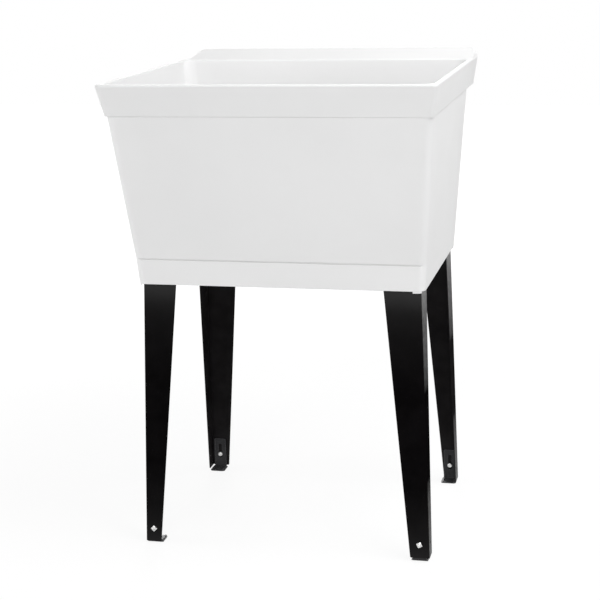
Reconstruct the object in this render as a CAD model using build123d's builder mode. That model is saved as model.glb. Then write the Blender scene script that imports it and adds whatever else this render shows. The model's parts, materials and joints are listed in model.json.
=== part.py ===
from build123d import *
import math
import os

os.makedirs("parts", exist_ok=True)

# Utility laundry tub on four angle-section legs. Millimetres.
# The floor is Z = 0, the front faces -Y, and X = Y = 0 is the middle of the rim.

# Heights set by the legs, which stand SOCKET_DEPTH deep in the tub. Each leg's end hangs at its own
# height above the floor, because each foot is screwed on at its own height.
LEG_LENGTH = 505.0
SOCKET_DEPTH = 20.0
LEG_END_Z = (6.5, 3.0, 3.5, 4.0)
TAPER_LENGTH = LEG_LENGTH - SOCKET_DEPTH
BASE_Z = max(LEG_END_Z) + TAPER_LENGTH

# Tub: rim and deck
TUB_H = 360.5
RIM_HALF_X = 291.0
RIM_FRONT_Y = -299.55
RIM_REAR_Y = 298.5
RIM_Z = BASE_Z + TUB_H
RIM_H = 55.0
RIM_SIDE_FLARE = 9.0
RIM_FRONT_FLARE = 17.75
RIM_CORNER_R = 8.0
RIM_EDGE_R = 3.0
SKIRT_Z = RIM_Z - RIM_H
SKIRT_HALF_X = RIM_HALF_X - RIM_SIDE_FLARE
SKIRT_FRONT_Y = RIM_FRONT_Y + RIM_FRONT_FLARE
DECK_RISE = 15.0
DECK_DEPTH = 82.5
DECK_ROOT = 8.0
DECK_SHOULDER_X = 17.5
DECK_END_R = 16.0
DECK_END_INSET = 1.5
DECK_CORNER_R = 12.0
DECK_HOLLOW_R = 6.0
DECK_RIB_T = 3.0
DECK_RIB_H = 18.0
DECK_RIB_X = (-139.0, 0.0, 139.0)
DECK_Z = RIM_Z + DECK_RISE
DECK_FRONT_Y = RIM_REAR_Y - DECK_DEPTH

# Tub: body and plinth band. Each level is (Z, half width, front Y, rear Y).
SKIRT_LAP = 2.0
SKIRT_STEP_X = 0.85
SKIRT_STEP_Y = 2.55
LEDGE_DEPTH = 95.75
BAND_H = 45.5
CREASE_Z = BASE_Z + BAND_H
CREASE_DRAFT = (20.15, 58.35, 7.65)
BASE_DRAFT = (23.65, 62.45, 8.95)
TOP_LEVEL = (SKIRT_HALF_X - SKIRT_STEP_X, SKIRT_FRONT_Y + SKIRT_STEP_Y, RIM_REAR_Y - LEDGE_DEPTH)


def drawn_in(draft):
    """Half width, front Y and rear Y of the body where its sides have come in by draft."""
    side, front, rear = draft
    return TOP_LEVEL[0] - side, TOP_LEVEL[1] + front, TOP_LEVEL[2] - rear


BODY_TOP = (SKIRT_Z + SKIRT_LAP, *TOP_LEVEL)
BODY_CREASE = (CREASE_Z, *drawn_in(CREASE_DRAFT))
BODY_BASE = (BASE_Z, *drawn_in(BASE_DRAFT))
BODY_CORNER_R = 16.0
WALL = 4.0
FLOOR_DROP = 8.0
FLOOR_Z = CREASE_Z - FLOOR_DROP
FLOOR_FILLET_R = 18.0
BASIN_CORNER_R = 22.0
GROOVE_D = 2.0
GROOVE_H = 2.4
TAB_W = 15.0
TAB_H = 3.5
TAB_T = 2.0
TAB_ROOT = 4.0
TAB_INSET = 0.8
TAB_OVERHANG = 1.5

# Drain position and seat
DRAIN_Y = -12.0
DRAIN_FALL = 7.0
DRAIN_SQUARE = 84.0
DRAIN_SEAT_R = 39.0
DRAIN_SEAT_DEPTH = 2.5
DRAIN_HOLE_R = 24.5
DRAIN_BOSS_R = 46.0
DRAIN_BOSS_T = 6.0
SLOPE_MARGIN = 2.0
DRAIN_FLOOR_Z = FLOOR_Z - DRAIN_FALL
DRAIN_SEAT_Z = DRAIN_FLOOR_Z - DRAIN_SEAT_DEPTH
DRAIN_BOSS_Z = DRAIN_SEAT_Z - DRAIN_BOSS_T

# Legs: tapered angle section, each leaning outward a little as it stands in its socket
LEG_INSET_X = 7.5
LEG_INSET_FRONT = 10.8
LEG_INSET_REAR = 3.8
LEG_X = BODY_BASE[1] - LEG_INSET_X
LEG_FRONT_Y = BODY_BASE[2] + LEG_INSET_FRONT
LEG_REAR_Y = BODY_BASE[3] - LEG_INSET_REAR
LEG_T = 1.5
LEG_BEND_R = 2.2
LEG_TIP_R = 2.5
WIDE_TOP = 66.0
WIDE_END = 35.0
NARROW_TOP = 60.3
NARROW_END = 29.0
HOLE_D = 5.6
HOLE_RISE = 25.0
WIDE_HOLE = 17.5
NARROW_HOLE = 15.6
SOCKET_GAP = 0.3
SOCKET_WALL = 3.0
SOCKET_OUT = 12.0
SOCKET_LIP = 0.5
SOCKET_LOW_Z = BASE_Z + SOCKET_LIP
SOCKET_HIGH_Z = FLOOR_Z - SOCKET_WALL

# Foot bracket
FOOT_W = 25.0
FOOT_BASE_W = 30.0
FOOT_T = 1.8
FOOT_TOP_Z = 62.0
FOOT_REACH = 31.0
FOOT_RIB_H = 1.6
FOOT_RIB_W = 2.2
SLOT_W = 7.2
SLOT_LOW_Z = 19.5
SLOT_HIGH_Z = 51.4
PLATE_CORNER_R = 3.0
BASE_CORNER_R = 5.0
FOOT_BEND_R = 3.0
MOVING_GAP = 0.3

# Screw and square nut
SHANK_R = 2.4
SHANK_END = 1.6
SHANK_TIP = 0.6
HEAD_R = 4.8
HEAD_H = 3.0
NUT_AF = 8.5
NUT_H = 3.2
NUT_BEVEL_H = 1.2
NUT_CORNER_R = 7.0
THREAD_GAP = 0.1
RECESS_L = 5.2
RECESS_W = 1.1
RECESS_D = 1.4

# Drain outlet
FLANGE_R = 38.0
FLANGE_BEVEL = 1.5
FLANGE_BEVEL_H = 1.0
TUBE_R = 23.0
BORE_R = 20.0
TUBE_LENGTH = 46.5
TUBE_END_Z = DRAIN_SEAT_Z - TUBE_LENGTH
SEAT_CONE_R = 24.0
SEAT_CONE_H = 8.0
SEAT_CONE_Z = DRAIN_FLOOR_Z - SEAT_CONE_H
GASKET_T = 3.0
GASKET_MARGIN = 3.0
FRICTION_T = 1.0
FRICTION_MARGIN = 2.0
LOCKNUT_H = 8.0
LOCKNUT_R = 32.0
WING_L = 10.0
WING_W = 9.0
TAIL_PIPE_R = 19.3
TAIL_WASHER_T = 4.0
TAIL_WASHER_STEP = 0.5
TAIL_WASHER_BEVEL = 1.5
TAIL_NUT_LIP = 4.0
TAIL_NUT_R = 27.5
TAIL_NUT_H = 22.0
TAIL_RIB_L = 3.0
TAIL_RIB_W = 6.0
SCREW_CLEARANCE = 0.15
CROSSBAR_DROP = 14.0
CROSSBAR_W = 3.0
CROSSBAR_H = 4.0
CROSSBAR_BITE = 0.5

# Stopper
STOPPER_R = 27.0
STOPPER_LIP_H = 1.5
STOPPER_TOP_H = 3.0
STOPPER_BEVEL = 2.0
STOPPER_REACH = 5.0
STOPPER_TAPER = 0.2
PULL_RISE = 9.0
PULL_H = 16.0
PULL_W = 12.0
PULL_T = 3.5
PULL_HOLE_R = 3.0

# Reach of a cut that goes right through
THROUGH = 100.0

# Each leg corner is (name, side in X, side in Y, turn). The leg is turned by quarter turns, so its
# wide flange faces front, left, rear and right in order. The other rows, with LEG_END_Z, follow this order.
CORNERS = (
    ("front_right", 1, -1, 0),
    ("front_left", -1, -1, -90),
    ("rear_left", -1, 1, 180),
    ("rear_right", 1, 1, 90),
)
LEAN_X = (15.5, 14.5, 6.5, 13.0)
LEAN_Y = (18.0, 12.0, 16.0, 20.0)
NUT_TURN = (25, 45, 0, 10)


def body_level(z, inset):
    """Half width, front Y and rear Y of the tub wall at height z, moved inward by inset."""
    low, high = (BODY_CREASE, BODY_TOP) if z >= CREASE_Z else (BODY_BASE, BODY_CREASE)
    t = (z - low[0]) / (high[0] - low[0])
    half_x, front, rear = [a + (b - a) * t for a, b in zip(low[1:], high[1:])]
    return half_x - inset, front + inset, rear - inset


def basin_level(z):
    """Half width, front Y and rear Y of the basin; its walls run on straight below the crease."""
    t = (z - CREASE_Z) / (BODY_TOP[0] - CREASE_Z)
    half_x, front, rear = [a + (b - a) * t for a, b in zip(BODY_CREASE[1:], BODY_TOP[1:])]
    return half_x - WALL, front + WALL, rear - WALL


def tapered_block(levels, corner_r):
    """Solid with flat sloping sides through a list of (z, (half width, front Y, rear Y)) levels."""
    right = [(half_x, z) for z, (half_x, _, _) in levels]
    left = [(-half_x, z) for z, (half_x, _, _) in levels]
    fronts = [(front, z) for z, (_, front, _) in levels]
    rears = [(rear, z) for z, (_, _, rear) in levels]
    with BuildPart() as block:
        with BuildSketch(Plane.XZ):
            with BuildLine():
                Polyline(*right, *reversed(left), close=True)
            make_face()
        extrude(amount=2 * RIM_HALF_X, both=True)
        with BuildSketch(Plane.YZ):
            with BuildLine():
                Polyline(*rears, *reversed(fronts), close=True)
            make_face()
        extrude(amount=2 * RIM_HALF_X, both=True, mode=Mode.INTERSECT)
        if corner_r:
            fillet(block.edges().filter_by(lambda e: abs(e.tangent_at(0).Z) > 0.5), radius=corner_r)
    return block.part


def drain_level():
    """Square around the drain where the slopes of the basin floor end."""
    return DRAIN_SQUARE / 2, DRAIN_Y - DRAIN_SQUARE / 2, DRAIN_Y + DRAIN_SQUARE / 2


def slope_level():
    """Outline of the basin floor where its slopes to the drain begin."""
    half_x, front, rear = basin_level(FLOOR_Z)
    edge = FLOOR_FILLET_R + SLOPE_MARGIN
    return half_x - edge, front + edge, rear - edge


def wall_line_y(z):
    """Inner face of the rear basin wall at height z."""
    return basin_level(z)[2]


def deck_z(y):
    """Top of the sloping deck at depth y."""
    return RIM_Z + (DECK_Z - RIM_Z) * (y - DECK_FRONT_Y) / (RIM_REAR_Y - DECK_FRONT_Y)


# ---- Tub ----

with BuildPart() as basin_space:
    add(tapered_block([(z, basin_level(z)) for z in (FLOOR_Z, DECK_Z)], BASIN_CORNER_R))
    fillet(basin_space.faces().sort_by(Axis.Z)[0].edges(), radius=FLOOR_FILLET_R)
    add(tapered_block([(DRAIN_FLOOR_Z, drain_level()), (FLOOR_Z, slope_level())], 0))

with BuildPart() as under_space:
    # Hollow inside the plinth band, under the sloping floor
    hollow_top_z = FLOOR_Z - WALL
    add(tapered_block([(z, body_level(z, WALL)) for z in (BASE_Z, hollow_top_z)], BODY_CORNER_R - WALL))
    slopes = [(DRAIN_FLOOR_Z - WALL, drain_level()), (hollow_top_z, slope_level())]
    add(tapered_block(slopes, 0), mode=Mode.SUBTRACT)

with BuildPart() as deck_rise:
    # Wedge from the rim up to the deck's rear edge
    root_z = RIM_Z - DECK_ROOT
    with BuildSketch(Plane.YZ) as deck_slope:
        with BuildLine():
            Polyline(
                (DECK_FRONT_Y, RIM_Z),
                (RIM_REAR_Y, DECK_Z),
                (RIM_REAR_Y, root_z),
                (DECK_FRONT_Y, root_z),
                close=True,
            )
        make_face()
        fillet(deck_slope.vertices().sort_by(Axis.Y)[-1], radius=RIM_EDGE_R)
    extrude(amount=RIM_HALF_X, both=True)
    # The left end eases down to the rim in an S-curve and the right end is rounded over
    left_x = RIM_CORNER_R - RIM_HALF_X
    flat_x = left_x + DECK_SHOULDER_X
    right_x = RIM_HALF_X - DECK_END_INSET
    with BuildSketch(Plane.XZ):
        with BuildLine():
            middle = ((left_x + flat_x) / 2, (RIM_Z + DECK_Z) / 2)
            rise = TangentArc((left_x, RIM_Z), middle, tangent=(1, 0))
            TangentArc(middle, (flat_x, DECK_Z), tangent=rise % 1)
            Line((flat_x, DECK_Z), (right_x - DECK_END_R, DECK_Z))
            TangentArc((right_x - DECK_END_R, DECK_Z), (right_x, DECK_Z - DECK_END_R), tangent=(1, 0))
            Polyline((right_x, DECK_Z - DECK_END_R), (right_x, root_z), (left_x, root_z), (left_x, RIM_Z))
        make_face()
    extrude(amount=THROUGH + RIM_REAR_Y, both=True, mode=Mode.INTERSECT)
    with BuildSketch(Plane.XY.offset(root_z)) as deck_outline:
        with Locations((right_x, RIM_REAR_Y)):
            Rectangle(2 * RIM_HALF_X, DECK_DEPTH, align=(Align.MAX, Align.MAX))
        fillet(deck_outline.vertices().group_by(Axis.Y)[-1].sort_by(Axis.X)[-1], radius=DECK_CORNER_R)
    extrude(amount=DECK_Z - root_z, mode=Mode.INTERSECT)

with BuildPart() as deck_space:
    # Hollow under the deck, open at the bottom
    mouth_z = SKIRT_Z - WALL
    hollow_rear_y = RIM_REAR_Y - WALL
    with BuildSketch(Plane.YZ) as hollow:
        with BuildLine():
            Polyline(
                (wall_line_y(mouth_z) + WALL, mouth_z),
                (wall_line_y(RIM_Z - WALL) + WALL, RIM_Z - WALL),
                (DECK_FRONT_Y, RIM_Z - WALL),
                (hollow_rear_y, deck_z(hollow_rear_y) - WALL),
                (hollow_rear_y, mouth_z),
                close=True,
            )
        make_face()
        fillet(hollow.vertices().group_by(Axis.Y)[1].sort_by(Axis.X)[0], radius=DECK_HOLLOW_R)
    extrude(amount=SKIRT_HALF_X - WALL, both=True)

with BuildPart() as deck_ribs:
    for rib_x in DECK_RIB_X:
        with BuildSketch(Plane.YZ.offset(rib_x - DECK_RIB_T / 2)):
            with BuildLine():
                Polyline(
                    (wall_line_y(RIM_Z) + 1, RIM_Z - DECK_RIB_H),
                    (DECK_FRONT_Y, RIM_Z - WALL / 2),
                    (RIM_REAR_Y - WALL / 2, deck_z(RIM_REAR_Y) - WALL),
                    (RIM_REAR_Y - WALL / 2, RIM_Z - DECK_RIB_H),
                    close=True,
                )
            make_face()
        extrude(amount=DECK_RIB_T)

# ---- Legs ----


def shift(lean, z):
    """Outward move at height z of a leg that leans by a given amount over its taper."""
    return lean * (BASE_Z - z) / TAPER_LENGTH


def own_leans(turn, lean_x, lean_y):
    """Leans along the leg's own +X and -Y before it is turned."""
    return (lean_x, lean_y) if turn in (0, 180) else (lean_y, lean_x)


def corner_location(side_x, side_y, turn):
    """Place of a leg's outer corner at the band's lower edge, with the leg's turn."""
    return Location((side_x * LEG_X, LEG_REAR_Y if side_y > 0 else LEG_FRONT_Y, 0), (0, 0, turn))


def draw_angle(z, end_z, leans, grow):
    """L section at height z of a leg that ends at end_z, its outer corner at +X -Y, grown all round."""
    x = shift(leans[0], z)
    y = -shift(leans[1], z)
    taper = (z - end_z) / TAPER_LENGTH
    wide = WIDE_END + (WIDE_TOP - WIDE_END) * taper
    narrow = NARROW_END + (NARROW_TOP - NARROW_END) * taper
    with BuildSketch(Plane.XY.offset(z)) as section:
        with BuildLine():
            Polyline(
                (x + grow, y - grow),
                (x + grow, y + narrow + grow),
                (x - LEG_T - grow, y + narrow + grow),
                (x - LEG_T - grow, y + LEG_T + grow),
                (x - wide - grow, y + LEG_T + grow),
                (x - wide - grow, y - grow),
                close=True,
            )
        make_face()
        bend = section.vertices().group_by(Axis.Y)[0].sort_by(Axis.X)[-1]
        fillet(bend, radius=LEG_BEND_R)
        inside = section.vertices().sort_by_distance((x - LEG_T - grow, y + LEG_T + grow))[0]
        fillet(inside, radius=LEG_BEND_R - LEG_T)
    return section.sketch


def angle_leg(end_z, leans):
    """One leg about its own corner line, with a foot hole in each flange."""
    hole_z = end_z + HOLE_RISE
    x = shift(leans[0], hole_z)
    y = -shift(leans[1], hole_z)
    with BuildPart() as leg:
        loft([draw_angle(z, end_z, leans, 0) for z in (end_z, end_z + LEG_LENGTH)])
        end_edges = leg.edges().filter_by(GeomType.LINE).group_by(Axis.Z)[0]
        fillet(end_edges.filter_by(lambda e: abs(e.length - LEG_T) < LEG_T / 10), radius=LEG_TIP_R)
        with BuildSketch(Plane.XZ.offset(-y)):
            with Locations((x - WIDE_HOLE, hole_z)):
                Circle(HOLE_D / 2)
        extrude(amount=2 * LEG_T, both=True, mode=Mode.SUBTRACT)
        with BuildSketch(Plane.YZ.offset(x)):
            with Locations((y + NARROW_HOLE, hole_z)):
                Circle(HOLE_D / 2)
        extrude(amount=2 * LEG_T, both=True, mode=Mode.SUBTRACT)
    return leg.part


def leg_slot(end_z, leans):
    """Room for a leg's upper end, open below the tabs."""
    with BuildPart() as slot:
        loft([draw_angle(z, end_z, leans, SOCKET_GAP) for z in (BASE_Z - 2 * TAB_H, end_z + LEG_LENGTH)])
    return slot.part


with BuildPart() as socket_block:
    # Plastic around the socket, from just above the band's lip to the floor
    with BuildSketch(Plane.XY.offset(SOCKET_LOW_Z)):
        inner = LEG_T + SOCKET_GAP + SOCKET_WALL
        with Locations((SOCKET_OUT, -SOCKET_OUT)):
            for arm_x, arm_y in ((WIDE_TOP + SOCKET_WALL, inner), (inner, NARROW_TOP + SOCKET_WALL)):
                Rectangle(arm_x + SOCKET_OUT, arm_y + SOCKET_OUT, align=(Align.MAX, Align.MIN))
    extrude(amount=SOCKET_HIGH_Z - SOCKET_LOW_Z)

with BuildPart() as sockets:
    for _, side_x, side_y, turn in CORNERS:
        with Locations(corner_location(side_x, side_y, turn)):
            add(socket_block.part)
    band_inside = [(z, body_level(z, WALL / 2)) for z in (SOCKET_LOW_Z, SOCKET_HIGH_Z)]
    add(tapered_block(band_inside, BODY_CORNER_R - WALL / 2), mode=Mode.INTERSECT)

with BuildPart() as tab_block:
    with BuildSketch(Plane.XY.offset(BASE_Z - TAB_H)):
        with Locations((TAB_OVERHANG, 0)):
            Rectangle(TAB_W, SOCKET_OUT + WALL, align=(Align.MAX, Align.MAX))
    extrude(amount=TAB_H + TAB_ROOT)

with BuildPart() as tabs:
    # Short locating tab under the band beside each leg
    for _, side_x, side_y, turn in CORNERS:
        with Locations(corner_location(side_x, side_y, turn)):
            add(tab_block.part)
    with BuildSketch(Plane.XY.offset(BASE_Z - TAB_H)):
        for inset, mode in ((TAB_INSET, Mode.ADD), (TAB_INSET + TAB_T, Mode.SUBTRACT)):
            half_x, front, rear = body_level(BASE_Z, inset)
            with Locations((0, (front + rear) / 2)):
                RectangleRounded(2 * half_x, rear - front, BODY_CORNER_R - inset, mode=mode)
    extrude(amount=TAB_H + TAB_ROOT, mode=Mode.INTERSECT)

with BuildPart() as tub:
    # Rim skirt, deck, body and plinth band
    skirt = (SKIRT_HALF_X, SKIRT_FRONT_Y, RIM_REAR_Y)
    rim = (RIM_HALF_X, RIM_FRONT_Y, RIM_REAR_Y)
    add(tapered_block([(SKIRT_Z, skirt), (RIM_Z, rim)], RIM_CORNER_R))
    fillet(tub.faces().sort_by(Axis.Z)[-1].edges(), radius=RIM_EDGE_R)
    add(deck_rise.part)
    body = [(level[0], level[1:]) for level in (BODY_BASE, BODY_CREASE, BODY_TOP)]
    add(tapered_block(body, BODY_CORNER_R))
    add(basin_space.part, mode=Mode.SUBTRACT)
    fillet(tub.edges(Select.LAST).group_by(Axis.Z)[-1], radius=RIM_EDGE_R)
    add(under_space.part, mode=Mode.SUBTRACT)
    add(deck_space.part, mode=Mode.SUBTRACT)
    add(deck_ribs.part)
    # Groove above the band on the front face, running out into the corners
    with BuildSketch(Plane.YZ):
        with BuildLine():
            Polyline(
                (BODY_CREASE[2] - GROOVE_D, CREASE_Z),
                (BODY_CREASE[2] + GROOVE_D, CREASE_Z),
                (BODY_CREASE[2] + GROOVE_D, CREASE_Z + GROOVE_H / 2),
                (BODY_CREASE[2] - GROOVE_D, CREASE_Z + GROOVE_H),
                close=True,
            )
        make_face()
    extrude(amount=BODY_CREASE[1], both=True, mode=Mode.SUBTRACT)
    # Drain seat and the boss under it
    with BuildSketch(Plane.XY.offset(DRAIN_BOSS_Z)):
        with Locations((0, DRAIN_Y)):
            Circle(DRAIN_BOSS_R)
    extrude(amount=DRAIN_BOSS_T)
    for cut_z, cut_r in ((DRAIN_SEAT_Z, DRAIN_SEAT_R), (DRAIN_BOSS_Z, DRAIN_HOLE_R)):
        with BuildSketch(Plane.XY.offset(cut_z)):
            with Locations((0, DRAIN_Y)):
                Circle(cut_r)
        extrude(amount=THROUGH, mode=Mode.SUBTRACT)
    # Leg sockets and tabs
    add(tabs.part)
    add(sockets.part)
    for (_, side_x, side_y, turn), lean_x, lean_y, end_z in zip(CORNERS, LEAN_X, LEAN_Y, LEG_END_Z):
        with Locations(corner_location(side_x, side_y, turn)):
            add(leg_slot(end_z, own_leans(turn, lean_x, lean_y)), mode=Mode.SUBTRACT)

tub.part.label = "tub"
export_step(tub.part, "parts/tub.step")

for (name, side_x, side_y, turn), lean_x, lean_y, end_z in zip(CORNERS, LEAN_X, LEAN_Y, LEG_END_Z):
    with BuildPart() as leg:
        with Locations(corner_location(side_x, side_y, turn)):
            add(angle_leg(end_z, own_leans(turn, lean_x, lean_y)))
    leg.part.label = "leg_" + name
    export_step(leg.part, "parts/leg_" + name + ".step")

# ---- Foot brackets ----
# Drawn for a front leg: X = 0 is the middle of the foot, Y = 0 the leg's outer face at the band.


def draw_foot_profile(lean, x, thickness):
    """L profile of the foot at x: a plate that follows the leg and a level base, with a rounded heel."""
    outside = LEG_T + MOVING_GAP
    top_y = outside - shift(lean, FOOT_TOP_Z)
    heel_y = outside - shift(lean, 0)
    with BuildSketch(Plane.YZ.offset(x)) as section:
        with BuildLine():
            Polyline(
                (top_y, FOOT_TOP_Z),
                (heel_y, 0),
                (heel_y + FOOT_REACH, 0),
                (heel_y + FOOT_REACH, thickness),
                (outside - shift(lean, thickness) + thickness, thickness),
                (top_y + thickness, FOOT_TOP_Z),
                close=True,
            )
        make_face()
        fillet(section.vertices().sort_by_distance((heel_y, 0))[0], radius=FOOT_BEND_R)
    return section.sketch


def foot_bracket(lean):
    """Stamped foot: slotted plate, a wider base and a raised rib along both sides."""
    rib_x = (FOOT_W - FOOT_RIB_W) / 2
    with BuildPart() as bracket:
        extrude(draw_foot_profile(lean, 0, FOOT_T), amount=FOOT_W / 2, both=True)
        for x in (-rib_x, rib_x):
            extrude(draw_foot_profile(lean, x, FOOT_T + FOOT_RIB_H), amount=FOOT_RIB_W / 2, both=True)
        with BuildSketch(Plane.XZ) as plate_front:
            Rectangle(FOOT_W, FOOT_TOP_Z, align=(Align.CENTER, Align.MIN))
            fillet(plate_front.vertices().group_by(Axis.Y)[-1], radius=PLATE_CORNER_R)
        extrude(amount=THROUGH, both=True, mode=Mode.INTERSECT)
        with BuildSketch(Plane.XY):
            with Locations((0, LEG_T + MOVING_GAP + FOOT_BEND_R - shift(lean, 0))):
                Rectangle(FOOT_BASE_W, FOOT_REACH - FOOT_BEND_R, align=(Align.CENTER, Align.MIN))
        extrude(amount=FOOT_T)
        with BuildSketch(Plane.XY) as footprint:
            with Locations((0, LEG_T - shift(lean, 0))):
                Rectangle(FOOT_BASE_W, FOOT_REACH + MOVING_GAP, align=(Align.CENTER, Align.MIN))
            fillet(footprint.vertices().group_by(Axis.Y)[-1], radius=BASE_CORNER_R)
        extrude(amount=THROUGH, mode=Mode.INTERSECT)
        with BuildSketch(Plane.XZ):
            with Locations((0, (SLOT_LOW_Z + SLOT_HIGH_Z) / 2)):
                SlotOverall(SLOT_HIGH_Z - SLOT_LOW_Z, SLOT_W, rotation=90)
        extrude(amount=THROUGH, both=True, mode=Mode.SUBTRACT)
    return bracket.part


# ---- Foot screws and nuts ----
# Drawn about the origin with the leg's outer face on Z = 0 and the outside toward +Z.

with BuildPart() as screw_blank:
    head_z = -(LEG_T + 2 * MOVING_GAP + FOOT_T)
    with BuildSketch(Plane.XY.offset(head_z)):
        Circle(HEAD_R)
    extrude(amount=-HEAD_H)
    fillet(screw_blank.edges().group_by(Axis.Z)[0], radius=HEAD_H / 2)
    with BuildSketch(Plane.XY.offset(head_z)):
        Circle(SHANK_R)
    extrude(amount=NUT_H + SHANK_END - head_z)
    chamfer(screw_blank.edges().group_by(Axis.Z)[-1], length=SHANK_TIP)
    with BuildSketch(Plane.XY.offset(head_z - HEAD_H)):
        Rectangle(RECESS_L, RECESS_W)
        Rectangle(RECESS_W, RECESS_L)
    extrude(amount=RECESS_D, mode=Mode.SUBTRACT)

with BuildPart() as nut_blank:
    with BuildSketch():
        Rectangle(NUT_AF, NUT_AF)
        Circle(SHANK_R + THREAD_GAP, mode=Mode.SUBTRACT)
    extrude(amount=NUT_H)
    # Corners chamfered on the outer face by a shallow cone
    with BuildSketch(Plane.XZ):
        with BuildLine():
            Polyline(
                (0, 0),
                (NUT_CORNER_R, 0),
                (NUT_CORNER_R, NUT_H - NUT_BEVEL_H),
                (NUT_AF / 2, NUT_H),
                (0, NUT_H),
                close=True,
            )
        make_face()
    revolve(axis=Axis.Z, mode=Mode.INTERSECT)

for (name, side_x, side_y, turn), lean_x, lean_y, end_z, nut_turn in zip(
    CORNERS, LEAN_X, LEAN_Y, LEG_END_Z, NUT_TURN
):
    corner_y = corner_location(side_x, side_y, turn).position.Y
    hole_z = end_z + HOLE_RISE
    hole_inset = WIDE_HOLE if turn in (0, 180) else NARROW_HOLE
    foot_x = side_x * (LEG_X + shift(lean_x, hole_z) - hole_inset)
    lean_angle = math.atan(lean_y / TAPER_LENGTH)
    outward = Vector(0, side_y * math.cos(lean_angle), math.sin(lean_angle))

    with BuildPart() as foot:
        with Locations(Location((foot_x, corner_y, 0), (0, 0, 90 + 90 * side_y))):
            add(foot_bracket(lean_y))
    foot.part.label = "foot_" + name
    export_step(foot.part, "parts/foot_" + name + ".step")

    hole = (foot_x, corner_y + side_y * shift(lean_y, hole_z), hole_z)
    seat = Plane(origin=hole, x_dir=(1, 0, 0), z_dir=outward)
    with BuildPart() as screw:
        with Locations(seat):
            add(screw_blank.part)
    screw.part.label = "foot_screw_" + name
    export_step(screw.part, "parts/foot_screw_" + name + ".step")

    with BuildPart() as nut:
        with Locations(seat):
            add(nut_blank.part, rotation=(0, 0, nut_turn))
    nut.part.label = "foot_nut_" + name
    export_step(nut.part, "parts/foot_nut_" + name + ".step")

# ---- Drain outlet ----

with BuildPart() as drain_body:
    with BuildSketch(Plane.XZ):
        with BuildLine():
            Polyline(
                (BORE_R, TUBE_END_Z),
                (TUBE_R, TUBE_END_Z),
                (TUBE_R, DRAIN_SEAT_Z),
                (FLANGE_R, DRAIN_SEAT_Z),
                (FLANGE_R, DRAIN_FLOOR_Z - FLANGE_BEVEL_H),
                (FLANGE_R - FLANGE_BEVEL, DRAIN_FLOOR_Z),
                (SEAT_CONE_R, DRAIN_FLOOR_Z),
                (BORE_R, SEAT_CONE_Z),
                close=True,
            )
        make_face()
    revolve(axis=Axis.Z)
    with BuildSketch(Plane.XY.offset(SEAT_CONE_Z - CROSSBAR_DROP)):
        crossbar_l = 2 * (BORE_R + CROSSBAR_BITE)
        Rectangle(crossbar_l, CROSSBAR_W)
        Rectangle(CROSSBAR_W, crossbar_l)
    extrude(amount=CROSSBAR_H)


def ring(low_z, height, outer_r, inner_r):
    """Flat ring around the drain's own axis."""
    with BuildPart() as washer:
        with BuildSketch(Plane.XY.offset(low_z)):
            Circle(outer_r)
            Circle(inner_r, mode=Mode.SUBTRACT)
        extrude(amount=height)
    return washer.part


gasket_z = DRAIN_BOSS_Z - GASKET_T
friction_z = gasket_z - FRICTION_T
locknut_z = friction_z - LOCKNUT_H

with BuildPart() as drain_gasket:
    add(ring(gasket_z, GASKET_T, LOCKNUT_R + GASKET_MARGIN, TUBE_R + SCREW_CLEARANCE))

with BuildPart() as drain_friction_washer:
    add(ring(friction_z, FRICTION_T, LOCKNUT_R + FRICTION_MARGIN, TUBE_R + SCREW_CLEARANCE))

with BuildPart() as drain_locknut:
    with BuildSketch(Plane.XY.offset(locknut_z)):
        Circle(LOCKNUT_R)
        with PolarLocations(LOCKNUT_R, 4):
            Rectangle(WING_L, WING_W)
        Circle(TUBE_R + SCREW_CLEARANCE, mode=Mode.SUBTRACT)
    extrude(amount=LOCKNUT_H)

with BuildPart() as tail_washer:
    with BuildSketch(Plane.XZ):
        with BuildLine():
            washer_r = TUBE_R - TAIL_WASHER_STEP
            Polyline(
                (TAIL_PIPE_R, TUBE_END_Z - TAIL_WASHER_T),
                (washer_r, TUBE_END_Z - TAIL_WASHER_T),
                (washer_r, TUBE_END_Z - TAIL_WASHER_BEVEL),
                (washer_r - TAIL_WASHER_BEVEL, TUBE_END_Z),
                (TAIL_PIPE_R, TUBE_END_Z),
                close=True,
            )
        make_face()
    revolve(axis=Axis.Z)

with BuildPart() as tail_nut:
    tail_z = TUBE_END_Z - TAIL_WASHER_T - TAIL_NUT_LIP
    with BuildSketch(Plane.XY.offset(tail_z)):
        Circle(TAIL_NUT_R)
        with PolarLocations(TAIL_NUT_R, 8):
            Rectangle(TAIL_RIB_L, TAIL_RIB_W)
    extrude(amount=TAIL_NUT_H)
    with BuildSketch(Plane.XY.offset(tail_z)):
        Circle(TAIL_PIPE_R)
    extrude(amount=TAIL_NUT_H, mode=Mode.SUBTRACT)
    with BuildSketch(Plane.XY.offset(tail_z + TAIL_NUT_LIP)):
        Circle(TUBE_R + SCREW_CLEARANCE)
    extrude(amount=TAIL_NUT_H, mode=Mode.SUBTRACT)

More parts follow.
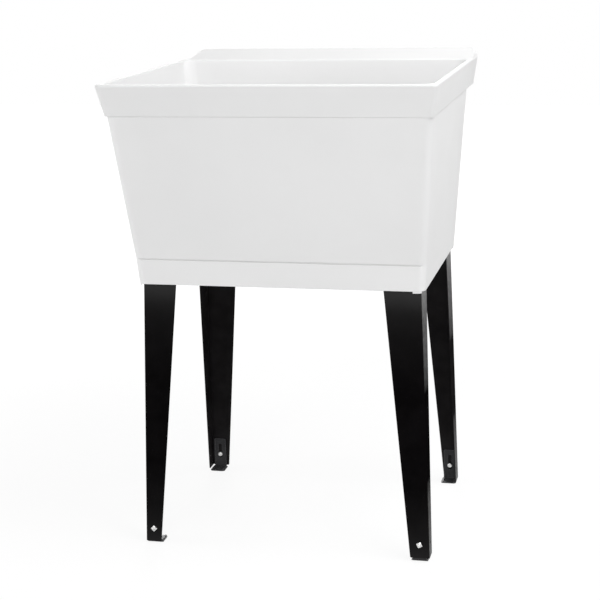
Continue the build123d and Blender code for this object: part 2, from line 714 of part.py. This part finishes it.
with BuildPart() as stopper:
    # Tapered rubber plug with a lip and a pull tab
    lip_z = DRAIN_FLOOR_Z + MOVING_GAP
    plug_r = BORE_R - MOVING_GAP
    with BuildSketch(Plane.XZ):
        with BuildLine():
            Polyline(
                (0, SEAT_CONE_Z - STOPPER_REACH),
                (plug_r - 2 * STOPPER_TAPER, SEAT_CONE_Z - STOPPER_REACH),
                (plug_r - STOPPER_TAPER, SEAT_CONE_Z),
                (SEAT_CONE_R - MOVING_GAP - STOPPER_TAPER, DRAIN_FLOOR_Z),
                (SEAT_CONE_R - MOVING_GAP - STOPPER_TAPER, lip_z),
                (STOPPER_R, lip_z),
                (STOPPER_R, lip_z + STOPPER_LIP_H),
                (STOPPER_R - STOPPER_BEVEL, lip_z + STOPPER_TOP_H),
                (0, lip_z + STOPPER_TOP_H),
                close=True,
            )
        make_face()
    revolve(axis=Axis.Z)
    with BuildSketch(Plane.XZ):
        with Locations((0, DRAIN_FLOOR_Z + PULL_RISE)):
            SlotOverall(PULL_H, PULL_W, rotation=90)
            Circle(PULL_HOLE_R, mode=Mode.SUBTRACT)
    extrude(amount=PULL_T / 2, both=True)

for piece, name in (
    (drain_body, "drain_body"),
    (drain_gasket, "drain_gasket"),
    (drain_friction_washer, "drain_friction_washer"),
    (drain_locknut, "drain_locknut"),
    (tail_washer, "tail_washer"),
    (tail_nut, "tail_nut"),
    (stopper, "stopper"),
):
    with BuildPart() as placed:
        with Locations((0, DRAIN_Y, 0)):
            add(piece.part)
    placed.part.label = name
    export_step(placed.part, "parts/" + name + ".step")
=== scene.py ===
import json
import math

import bpy
from mathutils import Matrix, Vector


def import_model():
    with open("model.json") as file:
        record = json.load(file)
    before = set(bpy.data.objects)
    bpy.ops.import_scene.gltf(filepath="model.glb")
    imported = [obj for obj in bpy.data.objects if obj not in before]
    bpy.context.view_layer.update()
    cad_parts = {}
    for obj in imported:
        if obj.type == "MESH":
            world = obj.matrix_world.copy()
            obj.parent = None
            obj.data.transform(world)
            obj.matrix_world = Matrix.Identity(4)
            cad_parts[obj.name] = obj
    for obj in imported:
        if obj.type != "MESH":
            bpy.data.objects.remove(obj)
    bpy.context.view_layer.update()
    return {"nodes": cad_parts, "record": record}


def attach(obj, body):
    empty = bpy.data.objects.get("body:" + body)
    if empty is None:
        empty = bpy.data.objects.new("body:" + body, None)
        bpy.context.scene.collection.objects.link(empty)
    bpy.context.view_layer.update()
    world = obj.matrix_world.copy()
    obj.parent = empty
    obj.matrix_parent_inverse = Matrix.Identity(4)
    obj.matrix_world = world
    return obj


# Camera, solved from the corners and edges in the photograph. Metres and degrees.
CAMERA_PLACE = Vector((0.6214, -2.7274, 1.0907))
CAMERA_YAW = 13.07
CAMERA_PITCH = 13.52
CAMERA_ROLL = -1.36
CAMERA_LENS = 91.27
CAMERA_REACH = 100
SENSOR = 36.0

# Even light of the world, and the soft boxes: name, place, target, side in metres, watts
AMBIENT = 0.32
LAMPS = (
    ("front", (0.3, -4.2, 1.9), (0, 0, 0.7), 2.5, 78.0),
    ("top", (0.9, -0.6, 2.8), (0, 0, 0.75), 0.8, 19.5),
    ("side", (1.8, -0.1, 2.1), (0.25, 0, 0.75), 1.0, 15.5),
    ("side_rear", (1.6, 1.0, 2.1), (0.25, 0, 0.75), 1.0, 4.5),
    ("corner", (2.7, -2.1, 0.45), (0, 0, 0.7), 1.0, 11.7),
    ("rear", (-1.0, 3.6, 0.9), (0, 0, 0.6), 1.6, 70.0),
    ("left", (-3.4, -0.4, 0.9), (0, 0, 0.6), 1.6, 42.0),
)

# Floor: its size and drop in metres, its paint, how much of it is lit paint near the object,
# the radii in metres where that fades, and the glow beyond them
FLOOR_SIZE = 14.0
FLOOR_DROP = 0.0005
FLOOR_PAINT = 0.55
FLOOR_LIT = 0.25
FLOOR_NEAR = 1.0
FLOOR_FAR = 2.6
FLOOR_GLOW = 1.16

# Tub, in metres: height of the rim's top, depth of the deck, and ends of the S-curve at its left end as (x, z)
RIM_TOP = 0.852
DECK_Y = (0.2160, 0.2985)
END_LOW = Vector((-0.2830, 0.8520))
END_HIGH = Vector((-0.2655, 0.8670))

# Web behind the S-curve: its depth, thickness and distance below the surface in metres, and its grid
WEB_Y = (0.2360, 0.2950)
WEB_T = 0.002
WEB_SKIN = 0.00005
WEB_ROWS = 12
WEB_STEPS = 8

# Painted shade that greys the rim's top edges to hold down their highlight, in metres: wall that counts as thin, limits
# at the rear and below, and fades
EDGE_REACH = 0.0036
EDGE_REAR = DECK_Y[0] - 0.006
EDGE_LOW = RIM_TOP - 0.0045
EDGE_REAR_FADE = 0.02
EDGE_LOW_FADE = 0.002

# Leg paint: half the width in metres of the step from the front tone to the lighter rear tone, which is painted light
# on the rear pair, spread of the tones, and gloss at heights in metres, with its ends on the floor and at 1 m
PAINTED_LIGHT_STEP = 0.1
TONE_SPREAD = (0.8, 1.2)
GLOSS_ENDS = (0.16, 0.60)
GLOSS_AT = ((0.10, 0.02), (0.38, 0.02), (0.44, 0.06), (0.49, 0.24))


def camera():
    """Camera at the photograph's viewpoint; positive yaw turns it to the left."""
    yaw, pitch, roll = (math.radians(a) for a in (CAMERA_YAW, CAMERA_PITCH, CAMERA_ROLL))
    forward = Vector((-math.sin(yaw) * math.cos(pitch), math.cos(yaw) * math.cos(pitch), -math.sin(pitch)))
    level = Vector((math.cos(yaw), math.sin(yaw), 0))
    upright = level.cross(forward)
    right = math.cos(roll) * level + math.sin(roll) * upright
    up = -math.sin(roll) * level + math.cos(roll) * upright
    data = bpy.data.cameras.new("camera")
    data.sensor_width = SENSOR
    data.lens = CAMERA_LENS
    data.clip_end = CAMERA_REACH
    cam = bpy.data.objects.new("camera", data)
    axes = Matrix((right, up, -forward)).transposed()
    cam.matrix_world = Matrix.Translation(CAMERA_PLACE) @ axes.to_4x4()
    bpy.context.scene.collection.objects.link(cam)
    bpy.context.scene.camera = cam


def area_light(name, place, target, size, watts):
    """Square soft box at place, aimed at target."""
    data = bpy.data.lights.new(name, "AREA")
    data.size = size
    data.energy = watts
    lamp = bpy.data.objects.new(name, data)
    lamp.location = place
    lamp.visible_camera = False
    lamp.rotation_mode = "QUATERNION"
    lamp.rotation_quaternion = (Vector(target) - Vector(place)).to_track_quat("-Z", "Y")
    bpy.context.scene.collection.objects.link(lamp)


def map_range(tree, value, start, full, low=0.0, high=1.0, smooth=False):
    """Value from start to full spread over low to high; high may be a socket."""
    node = tree.nodes.new("ShaderNodeMapRange")
    if smooth:
        node.interpolation_type = "SMOOTHSTEP"
    node.inputs["From Min"].default_value = start
    node.inputs["From Max"].default_value = full
    node.inputs["To Min"].default_value = low
    if isinstance(high, bpy.types.NodeSocket):
        tree.links.new(high, node.inputs["To Max"])
    else:
        node.inputs["To Max"].default_value = high
    tree.links.new(value, node.inputs["Value"])
    return node.outputs[0]


def seen_ray(tree):
    """1 for the rays that see the background: camera, glossy and transmission."""
    path = tree.nodes.new("ShaderNodeLightPath")
    value = path.outputs["Is Camera Ray"]
    for ray in ("Is Glossy Ray", "Is Transmission Ray"):
        either = tree.nodes.new("ShaderNodeMath")
        either.operation = "MAXIMUM"
        tree.links.new(value, either.inputs[0])
        tree.links.new(path.outputs[ray], either.inputs[1])
        value = either.outputs[0]
    return value


def blend(tree, factor, first, second):
    """Mix of two shaders."""
    mix = tree.nodes.new("ShaderNodeMixShader")
    for socket, value in zip(mix.inputs, (factor, first, second)):
        tree.links.new(value, socket)
    return mix.outputs[0]


def world():
    """Even studio light; seen directly it is white."""
    made = bpy.data.worlds.new("studio")
    bpy.context.scene.world = made
    made.use_nodes = True
    tree = made.node_tree
    tree.nodes.clear()
    skies = []
    for strength in (AMBIENT, 1.0):
        sky = tree.nodes.new("ShaderNodeBackground")
        sky.inputs["Color"].default_value = (1, 1, 1, 1)
        sky.inputs["Strength"].default_value = strength
        skies.append(sky.outputs[0])
    out = tree.nodes.new("ShaderNodeOutputWorld")
    tree.links.new(blend(tree, seen_ray(tree), *skies), out.inputs[0])


def floor():
    """White floor that keeps a faint shadow near the object and fades into the white world."""
    half = FLOOR_SIZE / 2
    mesh = bpy.data.meshes.new("floor")
    mesh.from_pydata([(-half, -half, 0), (half, -half, 0), (half, half, 0), (-half, half, 0)], [], [(0, 1, 2, 3)])
    plane = bpy.data.objects.new("floor", mesh)
    plane.location.z = -FLOOR_DROP
    bpy.context.scene.collection.objects.link(plane)
    mat = bpy.data.materials.new("floor")
    mat.use_nodes = True
    tree = mat.node_tree
    tree.nodes.clear()
    place = tree.nodes.new("ShaderNodeTexCoord")
    distance = tree.nodes.new("ShaderNodeVectorMath")
    distance.operation = "LENGTH"
    tree.links.new(place.outputs["Object"], distance.inputs[0])
    near = map_range(tree, distance.outputs["Value"], FLOOR_FAR, FLOOR_NEAR, high=FLOOR_LIT, smooth=True)
    paint = tree.nodes.new("ShaderNodeBsdfDiffuse")
    paint.inputs["Color"].default_value = (FLOOR_PAINT, FLOOR_PAINT, FLOOR_PAINT, 1)
    glow = tree.nodes.new("ShaderNodeEmission")
    glow.inputs["Color"].default_value = (1, 1, 1, 1)
    glow.inputs["Strength"].default_value = FLOOR_GLOW
    seen = blend(tree, near, glow.outputs[0], paint.outputs[0])
    out = tree.nodes.new("ShaderNodeOutputMaterial")
    tree.links.new(blend(tree, seen_ray(tree), paint.outputs[0], seen), out.inputs[0])
    mesh.materials.append(mat)


class Finish:
    """A procedural material: principled shader with noise-driven colour, roughness and bump."""

    def __init__(self, name, metallic=0.0, specular=0.5):
        self.mat = bpy.data.materials.new(name)
        self.mat.use_nodes = True
        self.tree = self.mat.node_tree
        self.nodes = self.tree.nodes
        self.links = self.tree.links
        self.shader = self.nodes["Principled BSDF"]
        self.shader.inputs["Metallic"].default_value = metallic
        self.shader.inputs["Specular IOR Level"].default_value = specular
        self.place = self.nodes.new("ShaderNodeTexCoord").outputs["Object"]

    def axes(self):
        """Outputs X, Y and Z of the place on the object."""
        node = self.nodes.new("ShaderNodeSeparateXYZ")
        self.links.new(self.place, node.inputs[0])
        return node.outputs

    def noise(self, scale, detail):
        """Noise in object space; scale counts features per metre."""
        node = self.nodes.new("ShaderNodeTexNoise")
        node.inputs["Scale"].default_value = scale
        node.inputs["Detail"].default_value = detail
        self.links.new(self.place, node.inputs["Vector"])
        return node.outputs["Fac"]

    def ramp(self, value, low, high):
        """Noise spread between two colours."""
        node = self.nodes.new("ShaderNodeValToRGB")
        for stop, place, colour in zip(node.color_ramp.elements, (0.35, 0.65), (low, high)):
            stop.position = place
            stop.color = (*colour, 1)
        self.links.new(value, node.inputs[0])
        return node.outputs["Color"]

    def span(self, value, low, high):
        """Noise spread between two numbers."""
        return map_range(self.tree, value, 0.3, 0.7, low, high)

    def bevel(self, radius):
        """Normal rounded over edges by a radius."""
        node = self.nodes.new("ShaderNodeBevel")
        node.inputs["Radius"].default_value = radius
        return node.outputs[0]

    def edge(self, radius):
        """1 on sharp edges, 0 elsewhere."""
        geometry = self.nodes.new("ShaderNodeNewGeometry")
        dot = self.nodes.new("ShaderNodeVectorMath")
        dot.operation = "DOT_PRODUCT"
        self.links.new(self.bevel(radius), dot.inputs[0])
        self.links.new(geometry.outputs["Normal"], dot.inputs[1])
        return map_range(self.tree, dot.outputs["Value"], 0.97, 0.80)

    def rim_edge_painted_shade(self):
        """1 on the rim's top edges, where little material lies behind the surface and painted shade greys their
        highlight; 0 on walls and on the deck.
        """
        inside = self.nodes.new("ShaderNodeAmbientOcclusion")
        inside.inside = True
        inside.only_local = True
        inside.inputs["Distance"].default_value = EDGE_REACH
        axes = self.axes()
        zone = map_range(self.tree, axes["Y"], EDGE_REAR, EDGE_REAR - EDGE_REAR_FADE)
        zone = map_range(self.tree, axes["Z"], EDGE_LOW, EDGE_LOW + EDGE_LOW_FADE, high=zone)
        return map_range(self.tree, inside.outputs["AO"], 0.95, 0.55, high=zone)

    def mix(self, factor, a, b):
        """Colour a towards colour b."""
        node = self.nodes.new("ShaderNodeMix")
        node.data_type = "RGBA"
        self.links.new(factor, node.inputs["Factor"])
        for socket, value in ((node.inputs["A"], a), (node.inputs["B"], b)):
            if isinstance(value, tuple):
                socket.default_value = (*value, 1)
            else:
                self.links.new(value, socket)
        return node.outputs["Result"]

    def set(self, colour, roughness):
        """Colour and roughness of the shader."""
        self.links.new(colour, self.shader.inputs["Base Color"])
        self.links.new(roughness, self.shader.inputs["Roughness"])

    def bump(self, height, depth, soften):
        """Relief of the given depth in metres, over edges softened by a radius."""
        node = self.nodes.new("ShaderNodeBump")
        node.inputs["Strength"].default_value = 1.0
        node.inputs["Distance"].default_value = depth
        self.links.new(height, node.inputs["Height"])
        self.links.new(self.bevel(soften), node.inputs["Normal"])
        self.links.new(node.outputs[0], self.shader.inputs["Normal"])


def grey(level):
    return (level, level, level)


def tub_plastic():
    """Moulded white thermoplastic: satin skin, very fine texture, faint clouding, and painted shade that greys the
    rim's top edges to hold down their highlight.
    """
    f = Finish("tub_plastic", specular=0.10)
    cloud = f.ramp(f.noise(5, 3), grey(0.845), grey(0.865))
    # grey(0.60) on the rim's top edges is painted shade that holds down their highlight
    f.set(f.mix(f.rim_edge_painted_shade(), cloud, grey(0.60)), f.span(f.noise(40, 4), 0.50, 0.62))
    f.bump(f.noise(900, 3), 0.00005, soften=0.0015)
    return f.mat


def black_paint(name, front, rear, edge_wear_and_highlight, reach):
    """Semi-gloss black paint on pressed steel: a lighter tone on the rear pair as painted light, glossier toward both
    ends, and lighter edges, as wear on the legs and as a painted highlight along the feet's ribs.
    """
    f = Finish(name)
    axes = f.axes()
    # painted light: the rear pair takes a lighter tone than the front pair
    rear_painted_light = map_range(f.tree, axes["Y"], -PAINTED_LIGHT_STEP, PAINTED_LIGHT_STEP)
    cloud = f.noise(30, 5)
    tones = [f.ramp(cloud, *(tuple(k * c for c in tone) for k in TONE_SPREAD)) for tone in (front, rear)]
    # lighter edges: wear on the legs, and a painted highlight along the feet's ribs
    lighter_edges = f.mix(f.edge(reach), f.mix(rear_painted_light, *tones), edge_wear_and_highlight)
    f.set(lighter_edges, f.span(f.noise(120, 4), 0.34, 0.46))
    gloss = f.nodes.new("ShaderNodeFloatCurve")
    curve = gloss.mapping.curves[0]
    for i, level in enumerate(GLOSS_ENDS):
        curve.points[i].location = (i, level)
    for z, level in GLOSS_AT:
        curve.points.new(z, level)
    gloss.mapping.update()
    f.links.new(axes["Z"], gloss.inputs["Value"])
    f.links.new(gloss.outputs[0], f.shader.inputs["Specular IOR Level"])
    f.bump(f.noise(700, 2), 0.00004, soften=0.0005)
    return f.mat


def zinc(name, base):
    """Bright zinc plating on stamped or turned steel."""
    f = Finish(name, metallic=1.0)
    tone = f.ramp(f.noise(380, 4), tuple(0.55 * c for c in base), base)
    lighter_edges = f.mix(f.edge(0.0005), tone, tuple(min(1.0, 1.12 * c) for c in base))
    f.set(lighter_edges, f.span(f.noise(500, 3), 0.26, 0.44))
    f.bump(f.noise(900, 3), 0.00004, soften=0.0004)
    return f.mat


def moulded(name, low, high, rough, grain, depth):
    """Small moulded plastic, fibre or rubber piece."""
    f = Finish(name, specular=0.4)
    f.set(f.ramp(f.noise(90, 4), low, high), f.span(f.noise(300, 3), *rough))
    f.bump(f.noise(grain, 3), depth, soften=0.0006)
    return f.mat


def finishes():
    """Material of every slot in the record."""
    return {
        "tub_plastic": tub_plastic(),
        "leg_black": black_paint(
            # the second tone, lighter than the first, is painted light on the rear legs
            "leg_black", (0.0038, 0.0034, 0.0036), (0.0125, 0.0115, 0.0120), (0.02, 0.02, 0.021), 0.0006
        ),
        "foot_black": black_paint(
            # the second tone, lighter than the first, is painted light on the rear feet
            "foot_black", (0.028, 0.028, 0.029), (0.046, 0.046, 0.048), (0.12, 0.12, 0.125), 0.0014
        # edge tone 0.12 and radius 0.0014 paint highlights along the feet's ribs
        ),
        "fastener_zinc": zinc("fastener_zinc", (0.86, 0.86, 0.85)),
        "drain_plastic": moulded("drain_plastic", (0.76, 0.76, 0.75), (0.80, 0.80, 0.79), (0.28, 0.38), 900, 0.00003),
        "seal_rubber": moulded("seal_rubber", grey(0.018), grey(0.03), (0.6, 0.75), 1200, 0.00008),
        "washer_fibre": moulded("washer_fibre", (0.50, 0.43, 0.32), (0.62, 0.54, 0.42), (0.75, 0.9), 1500, 0.0001),
        "stopper_rubber": moulded("stopper_rubber", (0.66, 0.66, 0.64), (0.72, 0.72, 0.70), (0.5, 0.62), 1200, 0.00006),
    }


def s_curve(low, high, steps):
    """Points of two equal arcs that leave low and reach high level."""
    half = (high - low) / 2
    radius = half.length_squared / (2 * half.y)
    turn = math.asin(half.x / radius)
    arc = [Vector((math.sin(turn * i / steps), 1 - math.cos(turn * i / steps))) * radius for i in range(steps + 1)]
    return [low + point for point in arc] + [high - point for point in reversed(arc[:-1])]


def deck_end_web(material):
    """Web that closes the hollow behind the S-curve at the deck's left end, a hair inside its surface."""
    profile = s_curve(END_LOW, END_HIGH, WEB_STEPS)
    points = []
    for j in range(WEB_ROWS + 1):
        y = WEB_Y[0] + (WEB_Y[1] - WEB_Y[0]) * j / WEB_ROWS
        top = END_LOW.y + (END_HIGH.y - END_LOW.y) * (y - DECK_Y[0]) / (DECK_Y[1] - DECK_Y[0])
        points += [(point.x + WEB_SKIN, y, min(point.y, top) - WEB_SKIN) for point in profile]
    n = len(profile)
    corners = [j * n + i for j in range(WEB_ROWS) for i in range(n - 1)]
    mesh = bpy.data.meshes.new("deck_end_web")
    mesh.from_pydata(points, [], [(k, k + 1, k + n + 1, k + n) for k in corners])
    mesh.shade_smooth()
    mesh.materials.append(material)
    web = bpy.data.objects.new("deck_end_web", mesh)
    bpy.context.scene.collection.objects.link(web)
    solid = web.modifiers.new("thickness", "SOLIDIFY")
    solid.thickness = WEB_T
    solid.offset = -1
    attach(web, "tub_frame")


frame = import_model()

bpy.context.scene.view_settings.view_transform = "Standard"
camera()
world()
floor()
for lamp in LAMPS:
    area_light(*lamp)

made = finishes()
for part in frame["record"]["subparts"]:
    mesh = frame["nodes"][part["node"]].data
    mesh.materials.clear()
    mesh.materials.append(made[part["material_slot"]])
deck_end_web(made["tub_plastic"])
